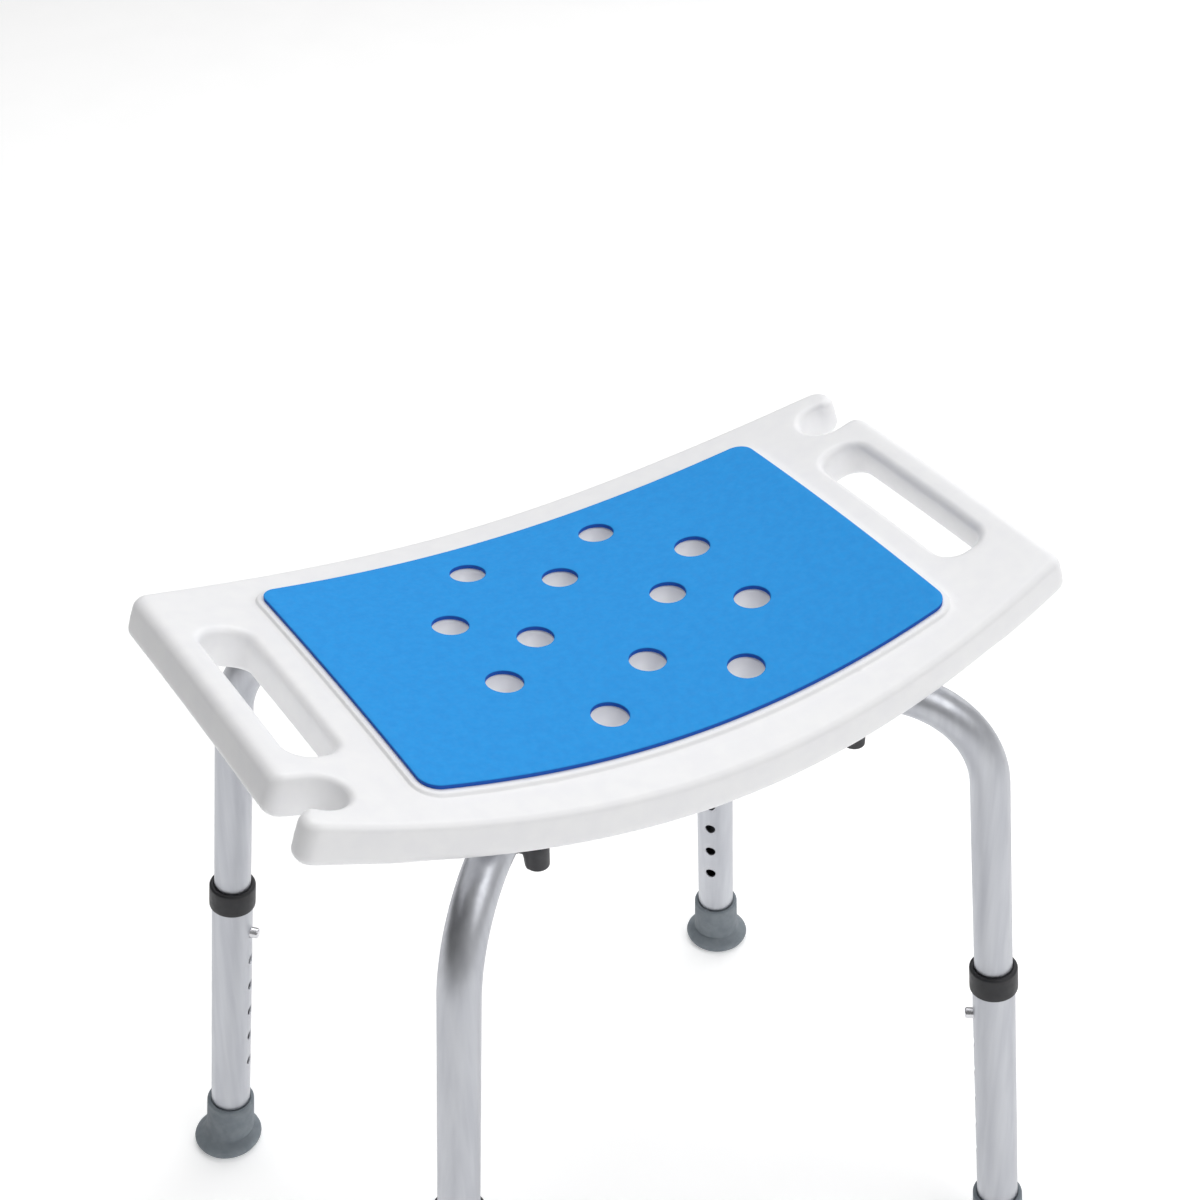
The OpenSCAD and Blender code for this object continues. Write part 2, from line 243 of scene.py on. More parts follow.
def rim_rows(points, top, bottom, top_round, bottom_round, steps=7, wall=4, proud=None):
    """Rows down a plate's edge: a rounded upper lip, an upright wall and a rounded lower lip.

    proud is how far a parting line stands out halfway down the wall.
    """
    normals = left_normals(points)
    top_round = np.broadcast_to(top_round, len(points))
    bottom_round = np.broadcast_to(bottom_round, len(points))

    def row(radius, angle, surface, sign):
        at = points + normals * (radius * (1 - math.sin(angle)))[:, None]
        return np.column_stack([at, surface(at) - sign * radius * (1 - math.cos(angle))])

    angles = [k / steps * math.pi / 2 for k in range(steps + 1)]
    rows = [row(top_round, a, top, 1) for a in angles]
    low = [row(bottom_round, a, bottom, -1) for a in reversed(angles)]
    for k in range(1, wall):
        mid = rows[steps] * (1 - k / wall) + low[0] * (k / wall)
        if proud is not None and k * 2 == wall:
            mid[:, :2] -= normals * proud
        rows.append(mid)
    return rows + low


def lathe(profile, around=96, closed=True):
    """Points (radius, height) turned about the Z axis, running down the outside first."""
    angles = np.linspace(0, 2 * math.pi, around, endpoint=False)
    rows = [np.stack([r * np.cos(angles), r * np.sin(angles), np.full(around, z)], axis=1)
            for r, z in profile]
    return join_rows(rows, closed)


def join_rows(rows, closed):
    """Skin rings into one mesh: closed on itself, or with its first and last rings capped."""
    around = len(rows[0])
    points = np.concatenate(rows)
    if closed:
        faces = skin_rows(rows + [rows[0]])
        faces = [tuple(v % len(points) for v in f) for f in faces]
        return points, faces
    faces = skin_rows(rows)
    last = len(points) - around
    faces.append(tuple(range(around)))
    faces.append(tuple(range(last + around - 1, last - 1, -1)))
    return points, faces


def weld(points, faces):
    """Merge points that share a place, such as along a seam."""
    keys = np.round(points, 4)
    _, first, same = np.unique(keys, axis=0, return_index=True, return_inverse=True)
    same = same.ravel()
    merged = []
    for f in faces:
        ids = [int(same[v]) for v in f]
        ids = [v for k, v in enumerate(ids) if v != ids[k - 1]]
        if len(ids) > 2:
            merged.append(tuple(ids))
    return points[first], merged


def arc_profile(r, z, radius, start, end, steps=6):
    """A rounded stretch of a lathe profile, angles in degrees."""
    return [(r + radius * math.cos(math.radians(a)), z + radius * math.sin(math.radians(a)))
            for a in np.linspace(start, end, steps + 1)]


def turn_z(points, angle):
    c, s = math.cos(angle), math.sin(angle)
    x, y, z = points[:, 0], points[:, 1], points[:, 2]
    return np.stack([c * x - s * y, s * x + c * y, z], axis=1)


def at_leg(points, leg):
    """From a leg's own frame (X away from the middle, Z up the leg) to the stool's."""
    c, s = math.cos(SPLAY), math.sin(SPLAY)
    x, y, z = points[:, 0], points[:, 1], points[:, 2]
    upright = np.stack([LEG_REACH + c * x - s * z, y, BEND_END_Z + s * x + c * z], axis=1)
    return turn_z(upright, LEG_TURNS[leg])


def at_knob(points, leg):
    """From a wing knob's own frame, with its origin on the tube's axis, to the stool's."""
    return turn_z(points + np.array([KNOB_REACH, 0, TUBE_Z]), LEG_TURNS[leg])


def smooth(t):
    t = np.clip(t, 0, 1)
    return t * t * (3 - 2 * t)


# ---- Seat and pad ----


def surface_z(x, depth):
    """Height of the plain dip, at a depth below the pad's top."""
    return DIP_AXIS_Z - np.sqrt((DIP_RADIUS + depth) ** 2 - x * x)


def crowned_z(points, depth):
    """The dip with a slight crown across it, which fades towards the seat's ends."""
    x, y = points[:, 0], points[:, 1]
    fade = CROWN_AT_ENDS + (1 - CROWN_AT_ENDS) * np.cos(np.clip(x / HALF_LENGTH, -1, 1) * math.pi / 2) ** 2
    return surface_z(x, depth) + CROWN * fade * (1 - (y / CROWN_HALF) ** 2)


def bowed_corner(length, width, bow, corner):
    """The corner circle's centre, and the angle where it meets the bowed edge."""
    drop = bow - width
    x = length - corner
    y = math.sqrt((bow - corner) ** 2 - x * x) - drop
    return x, y, math.degrees(math.atan2(y + drop, x))


def bowed_outline(length, width, bow, corner, spacing, side=None):
    """Plan with bowed long edges and round corners; the second half is the first turned round."""
    drop = bow - width
    x, y, meet = bowed_corner(length, width, bow, corner)
    if side is None:
        side = line(length, -y, length, y, spacing)
    half = np.concatenate([
        arc(0, drop, bow, -90, -meet, spacing),
        arc(x, -y, corner, -meet, 0, spacing / 2),
        side,
        arc(x, y, corner, 0, meet, spacing / 2),
        arc(0, -drop, bow, meet, 90, spacing)])
    return np.concatenate([half, -half])


def bowed_distance(points, length, width, bow, corner):
    """Signed distance outside a bowed plan, negative within it."""
    cx, cy, meet = bowed_corner(length, width, bow, corner)
    x, y = np.abs(points[:, 0]), np.abs(points[:, 1])
    flat = np.maximum(x - length, np.hypot(x, y + bow - width) - bow)
    in_corner = (x > cx) & (y > cy) & ((y - cy) < math.tan(math.radians(meet)) * (x - cx))
    return np.where(in_corner, np.hypot(x - cx, y - cy) - corner, flat)


PLATEAU = (PAD_HALF_LENGTH + PLATEAU_RIM, PAD_HALF_WIDTH + PLATEAU_RIM,
           PAD_BOW + PLATEAU_RIM, PAD_CORNER + PLATEAU_RIM)
STEP_RUN = 2.0            # width of the raised field's shoulder


def seat_top(points):
    """The seat's upper surface: the raised field, its shoulder and the lower margin round it."""
    outside = smooth(bowed_distance(points, *PLATEAU) / STEP_RUN + 0.5)
    return crowned_z(points, PAD_THICK + STEP * outside)


GROOVE_R = TUBE_R + 0.35
POCKET_R = 14.0
NUT_ROOM = 8.0            # height of the nut's pocket above the tubes
POCKET_TOP = TUBE_Z + TUBE_R + NUT_ROOM


def across_tube(points, turn):
    return points[:, 1] * math.cos(turn) - points[:, 0] * math.sin(turn)


def seat_base(points):
    """Underside, with a round groove for each frame tube and a pocket for the nut."""
    z = crowned_z(points, BASE_DEPTH)
    for turn in (TURN, -TURN):
        off = across_tube(points, turn)
        groove = TUBE_Z + np.sqrt(np.maximum(GROOVE_R ** 2 - off ** 2, 0))
        z = np.where(np.abs(off) < GROOVE_R, np.maximum(z, groove), z)
    pocket = np.hypot(points[:, 0], points[:, 1]) < POCKET_R
    return np.where(pocket, np.maximum(z, POCKET_TOP), z)


NOTCH_R = 15.5
HANDLE_BAR = 20.0
NOTCH_X = seat_high[0] - HANDLE_BAR
NOTCH_Y = 99.0
BAR_TIP = 8.0             # rounding of the handle bar's tip beside the notch
HOOK_TIP = 8.0            # rounding of the finger's tip on the notch's other side
NOTCH_LIP = 4.5           # lip radius in the notches
HOOK_LIP = 7.0            # lip radius at the finger's tip
TOP_LIPS = (8.0, 4.5)     # lip radius along the seat's upper edge, at its ends and its sides
BOTTOM_LIPS = (8.5, 10.0)
SEAM_HEIGHT = 0.15        # how far the mould's parting line stands out


def hook_centre():
    x = HALF_LENGTH - HOOK_TIP
    return x, NOTCH_Y + math.sqrt((NOTCH_R + HOOK_TIP) ** 2 - (x - NOTCH_X) ** 2)


def notched_side(spacing):
    """The seat's right end: up the handle bar, round the notch and on to the corner."""
    corner_y = bowed_corner(HALF_LENGTH, HALF_WIDTH, EDGE_BOW, CORNER)[1]
    floor = NOTCH_Y - NOTCH_R
    hook_x, hook_y = hook_centre()
    lean = math.degrees(math.atan2(NOTCH_Y - hook_y, hook_x - NOTCH_X))
    fine = spacing / 3
    return np.concatenate([
        line(HALF_LENGTH, -corner_y, HALF_LENGTH, floor - BAR_TIP, spacing),
        arc(HALF_LENGTH - BAR_TIP, floor - BAR_TIP, BAR_TIP, 0, 90, fine),
        line(HALF_LENGTH - BAR_TIP, floor, NOTCH_X, floor, fine),
        arc(NOTCH_X, NOTCH_Y, NOTCH_R, -90, -360 - lean, fine),
        arc(hook_x, hook_y, HOOK_TIP, 180 - lean, 360, fine / 2),
        line(HALF_LENGTH, hook_y, HALF_LENGTH, corner_y, fine)])


def notch_gap(points, x, y):
    """Distance to a place beside either notch; the two are half a turn apart."""
    there = np.array([x, y])
    return np.minimum(np.linalg.norm(points - there, axis=1), np.linalg.norm(points + there, axis=1))


def edge_rounding(points, at_ends, at_sides):
    """Lip radius round the seat, which turns smaller near the notches and the fingers beside them."""
    facing = np.abs(left_normals(points)[:, 0])
    radius = at_sides + (at_ends - at_sides) * smooth(facing)
    past_notch = np.maximum(notch_gap(points, NOTCH_X, NOTCH_Y) - (NOTCH_R + 1.5), 0)
    past_hook = np.maximum(notch_gap(points, *hook_centre()) - (HOOK_TIP + 1), 0)
    radius = np.minimum(radius, NOTCH_LIP + 0.5 * past_notch)
    radius = np.minimum(radius, HOOK_LIP + 0.2 * past_hook)
    for _ in range(12):
        radius = (np.roll(radius, 1) + 2 * radius + np.roll(radius, -1)) / 4
    return radius


SLOT_WIDTH = 30.0
SLOT_LENGTH = 142.0
SLOT_X = seat_high[0] - HANDLE_BAR - SLOT_WIDTH / 2
SLOT_SHIFT = 8.0
SLOT_CORNER = 13.0
SLOT_LIPS = (6.0, 5.0)    # lip radius at a hand slot's top and bottom


def slot_outline(side, spacing):
    """One hand slot, run clockwise so that the seat lies on the left."""
    w, h, r = SLOT_WIDTH / 2, SLOT_LENGTH / 2, SLOT_CORNER
    loop = np.concatenate([
        arc(w - r, r - h, r, -90, 0, spacing / 2), line(w, r - h, w, h - r, spacing),
        arc(w - r, h - r, r, 0, 90, spacing / 2), line(w - r, h, r - w, h, spacing / 2),
        arc(r - w, h - r, r, 90, 180, spacing / 2), line(-w, h - r, -w, r - h, spacing),
        arc(r - w, r - h, r, 180, 270, spacing / 2), line(r - w, -h, w - r, -h, spacing / 2)])
    return loop[::-1] + np.array([side * SLOT_X, -side * SLOT_SHIFT])


DRAIN_LIP = 2.4           # rounding where the seat's top turns down into a bowl
BOWL_DEPTH = 15.0
THROAT_LIP = 1.5
RING_LEVEL = 8.0          # depth below which a bowl's rings lie level
DRAIN_COLUMNS = ((87.8, (-34.6, 34.6)), (47.5, (-88.5, 0, 88.5)), (0, (-53.1, 53.1)))


def drain_centres():
    """Staggered columns of drains, the same on both halves of the seat."""
    centres = []
    for along, rows in DRAIN_COLUMNS:
        x = (DIP_RADIUS + PAD_THICK) * math.sin(along / DIP_RADIUS)
        for side in ((1, -1) if along else (1,)):
            centres += [(side * x, y) for y in rows]
    return centres


def circle(centre, radius, count=48):
    """Clockwise circle, as a hole's edge runs."""
    angles = -np.linspace(0, 2 * math.pi, count, endpoint=False)
    return np.array(centre) + radius * np.stack([np.cos(angles), np.sin(angles)], axis=1)


def drain_rows(centre):
    """A bowl that narrows to a throat, then a straight bore with a rounded lower lip."""
    rows = []
    lip = arc_profile(DRAIN_R + DRAIN_LIP, -DRAIN_LIP, DRAIN_LIP, 90, 165, 6)
    start_r, start_z = lip[-1]
    bowl = [(start_r + (DRAIN_THROAT - start_r) * smooth(t) ** 0.85, start_z - BOWL_DEPTH * t)
            for t in np.linspace(0.08, 1, 12)]
    level = seat_top(np.array([centre]))[0]
    for r, z in lip + bowl:
        ring = circle(centre, r)
        tilt = (seat_top(ring) - level) * smooth(1 + z / RING_LEVEL)
        rows.append(np.column_stack([ring, level + z + tilt]))
    bore_foot = arc_profile(DRAIN_THROAT + THROAT_LIP, THROAT_LIP, THROAT_LIP, 180, 270, 5)
    for r, z in [(DRAIN_THROAT, 2 * THROAT_LIP)] + bore_foot:
        ring = circle(centre, r)
        rows.append(np.column_stack([ring, crowned_z(ring, BASE_DEPTH) + z]))
    return rows


def clear_of(points, loops, gap):
    keep = inside(points, loops) & (distance_to(points, loops) > gap)
    return points[keep]


def thin_out(points, gap):
    """Drop points that crowd an earlier one, on a grid of cells."""
    cells = np.round(points / gap).astype(int)
    _, first = np.unique(cells, axis=0, return_index=True)
    return points[np.sort(first)]


def groove_points():
    """Rows of points along each tube groove, close together at its two edges."""
    along = np.arange(-200, 201, 4.0)
    offs = [0, 4, 8, 10.5, 12, 12.8, GROOVE_R - 0.02, GROOVE_R + 0.02, GROOVE_R + 1.5]
    found = []
    for turn in (TURN, -TURN):
        for off in offs:
            for side in ((1, -1) if off else (1,)):
                found.append(np.stack([along * math.cos(turn) - side * off * math.sin(turn),
                                       along * math.sin(turn) + side * off * math.cos(turn)], axis=1))
    return np.concatenate(found)


END_FROM = 190.0          # where the seat's ends begin to stand square to the dip
END_RUN = 30.0


def square_ends(points):
    """Lean the ends outwards at their foot until they stand square to the dipped surface."""
    lean = smooth((np.abs(points[:, 0]) - END_FROM) / END_RUN) * points[:, 0] / DIP_RADIUS
    shift = (seat_top(points) - points[:, 2]) * lean
    return points + np.stack([shift, 0 * shift, shift * lean], axis=1)


def build_seat(material):
    spacing = 3.0
    outer = bowed_outline(HALF_LENGTH, HALF_WIDTH, EDGE_BOW, CORNER, spacing, notched_side(spacing))
    edges = [rim_rows(outer, seat_top, seat_base, edge_rounding(outer, *TOP_LIPS),
                      edge_rounding(outer, *BOTTOM_LIPS), proud=SEAM_HEIGHT)]
    for side in (1, -1):
        slot = slot_outline(side, spacing)
        edges.append(rim_rows(slot, seat_top, seat_base, *SLOT_LIPS))
    edges += [drain_rows(c) for c in drain_centres()]
    shoulder = [bowed_outline(*(size + out for size in PLATEAU), 4.0)
                for out in np.linspace(-STEP_RUN / 2, STEP_RUN / 2, 7)]
    lattice = grid((-HALF_LENGTH, -HALF_WIDTH), (HALF_LENGTH, HALF_WIDTH), 6.0)
    upper = [rows[0][:, :2] for rows in edges]
    lower = [rows[-1][:, :2] for rows in edges]
    open_top = lattice[np.abs(bowed_distance(lattice, *PLATEAU)) > STEP_RUN]
    top_extra = clear_of(np.concatenate(shoulder + [open_top]), upper, 1.2)
    grooves = groove_points()
    near = np.minimum(np.abs(across_tube(lattice, TURN)), np.abs(across_tube(lattice, -TURN)))
    bottom_extra = thin_out(np.concatenate([grooves, lattice[near > GROOVE_R + 3]]), 0.03)
    bottom_extra = clear_of(bottom_extra, lower, 1.2)
    points, faces = plate(edges, top_extra, bottom_extra, seat_top, seat_base)
    points = square_ends(points)
    return add_piece("seat_moulding", points, faces, material, "root", ("seat",), sharp=50)


PAD_LIP = 0.9
PAD_HOLE_LIP = 0.7
PAD_FOOT_LIP = 0.3


def build_pad(material):
    def top(points):
        return crowned_z(points, 0)

    def base(points):
        return crowned_z(points, PAD_THICK)

    outer = bowed_outline(PAD_HALF_LENGTH, PAD_HALF_WIDTH, PAD_BOW, PAD_CORNER, 3.0)
    edges = [rim_rows(outer, top, base, PAD_LIP, PAD_FOOT_LIP, steps=5, wall=2)]
    for centre in drain_centres():
        hole = circle(centre, DRAIN_R, 64)
        edges.append(rim_rows(hole, top, base, PAD_HOLE_LIP, PAD_FOOT_LIP, steps=5, wall=2))
    lattice = grid((-PAD_HALF_LENGTH, -PAD_HALF_WIDTH), (PAD_HALF_LENGTH, PAD_HALF_WIDTH), 6.0)
    upper = clear_of(lattice, [rows[0][:, :2] for rows in edges], 2.0)
    lower = clear_of(lattice, [rows[-1][:, :2] for rows in edges], 2.0)
    points, faces = plate(edges, upper, lower, top, base)
    piece = add_piece("foam_pad", points, faces, material, "root", ("seat_pad",))
    return piece


# ---- Frame tubes ----

UPPER_LEN = 242.0         # straight leg below the bend
PRESS_HALF = 18.0         # half length of the flat where the two tubes cross
PRESS_RUN = 9.0           # length of the slope from the round tube to the flat
PRESS_GAP = 0.06          # distance of each flat from the tubes' shared middle


def tube_path():
    """Middle line of a frame tube in its upright plane: (along, height, slope) from end to end."""
    half = [(s, 0.0, 0.0) for s in np.linspace(0, BEND_START, 56)]
    for a in np.linspace(0, BEND_ANGLE, 25)[1:]:
        half.append((BEND_START + BEND_R * math.sin(a), -BEND_R * (1 - math.cos(a)), -a))
    for s in np.linspace(0, UPPER_LEN, 40)[1:]:
        height = BEND_END_Z - TUBE_Z - s * math.cos(SPLAY)
        half.append((LEG_REACH + s * math.sin(SPLAY), height, -BEND_ANGLE))
    return [(-x, z, -a) for x, z, a in reversed(half[1:])] + half


def build_frame_tube(node, turn, side, material):
    """Round tube pressed flat at the crossing; side is 1 where its underside is pressed in."""
    around = np.linspace(0, 2 * math.pi, 56, endpoint=False)
    outer = []
    bore = []
    for x, z, slope in tube_path():
        flat = smooth((PRESS_HALF + PRESS_RUN - abs(x)) / PRESS_RUN) if z == 0 else 0.0
        for rows, radius, skin in ((outer, TUBE_R, 0.0), (bore, TUBE_R - TUBE_WALL, TUBE_WALL)):
            across = radius * np.sin(around)
            lift = radius * np.cos(around) * side
            lift = np.maximum(lift, -radius + flat * (radius + skin + PRESS_GAP)) * side
            rows.append(np.stack([x - lift * math.sin(slope), across, z + lift * math.cos(slope)], axis=1))
    points, faces = join_rows(outer + bore[::-1], True)
    points = turn_z(points + np.array([0, 0, TUBE_Z]), turn)
    return add_piece(node.replace("frame_tube", "bent_tube"), points, faces, material, "root",
                     (node,), sharp=30)


def rolled_tube(outer, bore, low, high, holes):
    """Straight tube made as a flat sheet and rolled up, with round holes through one side."""
    width = 2 * math.pi * outer
    wall = outer - bore
    around, up = 72, int((high - low) / 4)
    # How far each row stands back from the cut, and its depth in the wall.
    end_steps = ((0.4, 0.0), (0.1, 0.12), (0.0, 0.4), (0.0, wall - 0.3), (0.3, wall))
    hole_steps = ((0.45, 0.0), (0.13, 0.13), (0.0, 0.45), (0.0, wall))

    def frame_rows():
        rows = []
        for shrink, depth in end_steps:
            a, b = low + shrink, high - shrink
            u = np.linspace(0, width, around + 1)
            v = np.linspace(a, b, up + 1)
            loop = np.concatenate([np.column_stack([u[:-1], np.full(around, a)]),
                                   np.column_stack([np.full(up, width), v[:-1]]),
                                   np.column_stack([u[:0:-1], np.full(around, b)]),
                                   np.column_stack([np.zeros(up), v[:0:-1]])])
            rows.append(np.column_stack([loop, np.full(len(loop), outer - depth)]))
        return rows

    edges = [frame_rows()]
    for station in holes:
        rows = []
        for grow, depth in hole_steps:
            ring = circle((width / 2, -station), HOLE_R + grow, 36)
            rows.append(np.column_stack([ring, np.full(len(ring), outer - depth)]))
        edges.append(rows)
    lattice = grid((0, low), (width, high), 2 * width / around)
    rings = [circle((width / 2, -s), HOLE_R + g, 30) for s in holes for g in (1.3, 2.4)]
    extra = thin_out(np.concatenate(rings + [lattice]), 0.8)
    extra = clear_of(extra, [r[0][:, :2] for r in edges], 0.7)
    points, faces = plate(edges, extra, extra, lambda p: np.full(len(p), outer),
                          lambda p: np.full(len(p), bore))
    angle = points[:, 0] / outer
    points = np.stack([points[:, 2] * np.cos(angle), points[:, 2] * np.sin(angle), points[:, 1]], axis=1)
    points, faces = weld(points, faces)
    # The sheet's two long edges meet face to face at the seam, and both are left out.
    seen = {}
    for f in faces:
        key = tuple(sorted(f))
        seen[key] = seen.get(key, 0) + 1
    return points, [f for f in faces if seen[tuple(sorted(f))] == 1]


# ---- Leg pieces ----

COLLAR_TOP = 152.5
COLLAR_LEN = 19.0
COLLAR_LIP = 3.5
COLLAR_R = 16.1
COLLAR_ROUND = 2.0        # rounding of the collar's outer rim
COLLAR_INNER = 0.9        # rounding of its rim against the upper tube
COLLAR_FOOT = 0.8
SLEEVE_R = 17.4
SLEEVE_TOP = 367.0
SLEEVE_RIM = 1.6          # rounding of the foot's upper rim
SOLE_R = 25.0
# From the sleeve down to the floor: how level the ring lies, its radius and its height
FOOT_RINGS = (
    (0.2, 17.9, 15.0), (0.45, 18.1, 14.0), (0.7, 18.4, 13.1), (0.9, 18.9, 12.3), (1, 19.8, 11.5),
    (1, 21.2, 10.6), (1, 22.6, 9.6), (1, 23.8, 8.6), (1, 24.6, 7.6), (1, SOLE_R, 6.4), (1, SOLE_R, 5.4),
    (1, 24.7, 4.2), (1, 24.0, 2.6), (1, 23.1, 1.2), (1, 22.2, 0.3), (1, 21.4, 0.0))
TREAD_GROOVES = ((18.2, 15.2), (12.4, 9.4))
TREAD_DEPTH = 1.4
BUTTON_R = 3.8
BUTTON_PROUD = 5.5
BUTTON_NOSE = 1.5         # rounding of the button's nose
FLANGE_R = BUTTON_R + 1.2
FLANGE_FROM_WALL = 2.3    # distance of the flange's back from the tube's inner wall


def build_lower_tube(leg, material):
    holes = [BUTTON_AT + k * HOLE_PITCH for k in range(HOLE_COUNT)]
    points, faces = rolled_tube(LOWER_R, TUBE_R + 0.3, -LOWER_END, -LOWER_TOP, holes)
    return add_piece("leg_extension_" + leg, at_leg(points, leg), faces, material, "leg_" + leg,
                     ("lower_tube_" + leg,), sharp=30)


def build_collar(leg, material):
    """Bush with a nearly flat top, a round outer rim and a lip around the upper tube."""
    top, low = -COLLAR_TOP, -COLLAR_TOP - COLLAR_LEN
    tube_gap = TUBE_R + 0.05
    profile = arc_profile(tube_gap + COLLAR_INNER, top - COLLAR_INNER, COLLAR_INNER, 180, 95, 4)
    profile += arc_profile(COLLAR_R - COLLAR_ROUND, top - COLLAR_ROUND, COLLAR_ROUND, 88, 0, 7)
    profile += [(COLLAR_R, top - 6), (COLLAR_R + 0.05, low + 4)]
    profile += arc_profile(COLLAR_R - COLLAR_FOOT, low + COLLAR_FOOT, COLLAR_FOOT, 0, -90, 4)
    profile += arc_profile(LOWER_R + 0.45, low + 0.4, 0.4, -90, -180, 3)
    profile += [(LOWER_R + 0.05, top - COLLAR_LIP), (tube_gap, top - COLLAR_LIP)]
    points, faces = lathe(profile)
    return add_piece("leg_collar_" + leg, at_leg(points, leg), faces, material, "leg_" + leg,
                     ("collar_" + leg,))


def foot_ring(radius, station, height, level):
    """A ring square to the leg at a station down it, or level at a height, or part way between."""
    around = np.linspace(0, 2 * math.pi, 96, endpoint=False)
    sole_x = LEG_REACH + FLOOR_AT * math.sin(SPLAY) + 1
    on_leg = np.array([LEG_REACH + station * math.sin(SPLAY),
                       BEND_END_Z - station * math.cos(SPLAY)])
    centre = on_leg * (1 - level) + np.array([sole_x, height]) * level
    tilt = SPLAY * (1 - level)
    return np.stack([centre[0] + radius * np.cos(around) * math.cos(tilt), radius * np.sin(around),
                     centre[1] + radius * np.cos(around) * math.sin(tilt)], axis=1)


def build_foot(leg, material):
    """Rubber tip: a sleeve in line with the leg, easing into a level cone-shaped sole with a tread."""
    bore = LOWER_R + 0.05
    rows = [foot_ring(bore, LOWER_END + 1.6, 0, 0), foot_ring(bore, SLEEVE_TOP + 1.2, 0, 0)]
    rim = arc_profile(bore + 1.0, -1.0, 1.0, 180, 90, 4)
    rim += arc_profile(SLEEVE_R - SLEEVE_RIM, -SLEEVE_RIM, SLEEVE_RIM, 85, 0, 6)
    for r, z in rim:
        rows.append(foot_ring(r, SLEEVE_TOP - z, 0, 0))
    base_at = FLOOR_AT - 16
    for t in np.linspace(0.1, 1, 8):
        rows.append(foot_ring(SLEEVE_R + 0.35 * t, SLEEVE_TOP + 2 + (base_at - SLEEVE_TOP - 2) * t, 0, 0))
    for level, r, h in FOOT_RINGS:
        rows.append(foot_ring(r, FLOOR_AT - h / math.cos(SPLAY), h, level))
    for outer_r, inner_r in TREAD_GROOVES:
        groove = ((outer_r, 0), (outer_r - 0.5, TREAD_DEPTH), (inner_r + 0.5, TREAD_DEPTH), (inner_r, 0))
        for r, h in groove:
            rows.append(foot_ring(r, 0, h, 1))
    rows.append(foot_ring(5.0, 0, 0, 1))
    points, faces = join_rows(rows, False)
    return add_piece("rubber_foot_" + leg, turn_z(points, LEG_TURNS[leg]), faces, material, "leg_" + leg,
                     ("foot_" + leg,))


def build_button(leg, material):
    """Round-nosed pin with a flange that keeps it inside the tube."""
    back = TUBE_R - TUBE_WALL - FLANGE_FROM_WALL
    nose = LOWER_R + BUTTON_PROUD
    profile = [(0.6, nose), (BUTTON_R - 2.2, nose - 0.1)]
    profile += arc_profile(BUTTON_R - BUTTON_NOSE, nose - BUTTON_NOSE - 0.1, BUTTON_NOSE, 75, 0, 6)
    profile += [(BUTTON_R, back + 1.3), (BUTTON_R + 0.2, back + 1), (FLANGE_R - 0.2, back + 1),
                (FLANGE_R, back + 0.8), (FLANGE_R, back + 0.2), (FLANGE_R - 0.2, back)]
    points, faces = lathe(profile, 48, False)
    points = np.stack([-points[:, 2], points[:, 1], points[:, 0] - BUTTON_AT], axis=1)
    return add_piece("height_button_" + leg, at_leg(points, leg), faces, material, "button_" + leg,
                     ("snap_button_" + leg,))


# ---- Wing knobs ----

HUB_R = 9.0
EAR_REACH = 15.2
EAR_R = 7.15
WEB_HALF = 6.5
WEB_H = 5.5
KNOB_H = 16.0
SADDLE_SPAN = 2.4         # height of the saddle between the knob and the tube
KNOB_TOP = -TUBE_R - SADDLE_SPAN
KNOB_BASE = KNOB_TOP - KNOB_H
EAR_FILLET = 1.5


def knob_outline():
    """Plan of the hub, the web and the two ears."""
    hub = math.degrees(math.acos(WEB_HALF / HUB_R))
    ear = math.degrees(math.acos(WEB_HALF / EAR_R))
    web_from = math.sqrt(HUB_R ** 2 - WEB_HALF ** 2)
    web_to = EAR_REACH - math.sqrt(EAR_R ** 2 - WEB_HALF ** 2)
    half = np.concatenate([
        arc(0, 0, HUB_R, -hub, hub, 0.6),
        line(WEB_HALF, web_from, WEB_HALF, web_to, 0.5),
        arc(0, EAR_REACH, EAR_R, -ear, 180 + ear, 0.6),
        line(-WEB_HALF, web_to, -WEB_HALF, web_from, 0.5)])
    return np.concatenate([half, -half])


def build_knob(leg, material):
    """Round hub and web with an ear hanging down at each end."""
    def top(points):
        return np.full(len(points), KNOB_TOP)

    def base(points):
        from_ear = np.hypot(points[:, 0], np.abs(points[:, 1]) - EAR_REACH)
        rise = smooth((from_ear - EAR_R) / EAR_FILLET) * (np.abs(points[:, 1]) < EAR_REACH)
        return KNOB_BASE + (KNOB_TOP - WEB_H - KNOB_BASE) * rise

    outline = knob_outline()
    edges = [rim_rows(outline, top, base, 0.8, 1.0, steps=4, wall=6)]
    lattice = grid((-HUB_R, -EAR_REACH - EAR_R), (HUB_R, EAR_REACH + EAR_R), 0.7)
    upper = clear_of(lattice[::5], [edges[0][0][:, :2]], 0.8)
    lower = clear_of(lattice, [edges[0][-1][:, :2]], 0.4)
    points, faces = plate(edges, upper, lower, top, base)
    return add_piece("wing_screw_knob_" + leg, at_knob(points, leg), faces, material, "knob_" + leg,
                     ("wing_knob_" + leg,), sharp=50)


# ---- Materials ----

RANGE_SOCKETS = ("From Min", "From Max", "To Min", "To Max")


def linear(*rgb):
    """A colour given as 0 to 255 display values, as Blender's linear values with alpha."""
    values = [c / 255 for c in rgb]
    return tuple(c / 12.92 if c <= 0.04045 else ((c + 0.055) / 1.055) ** 2.4 for c in values) + (1.0,)


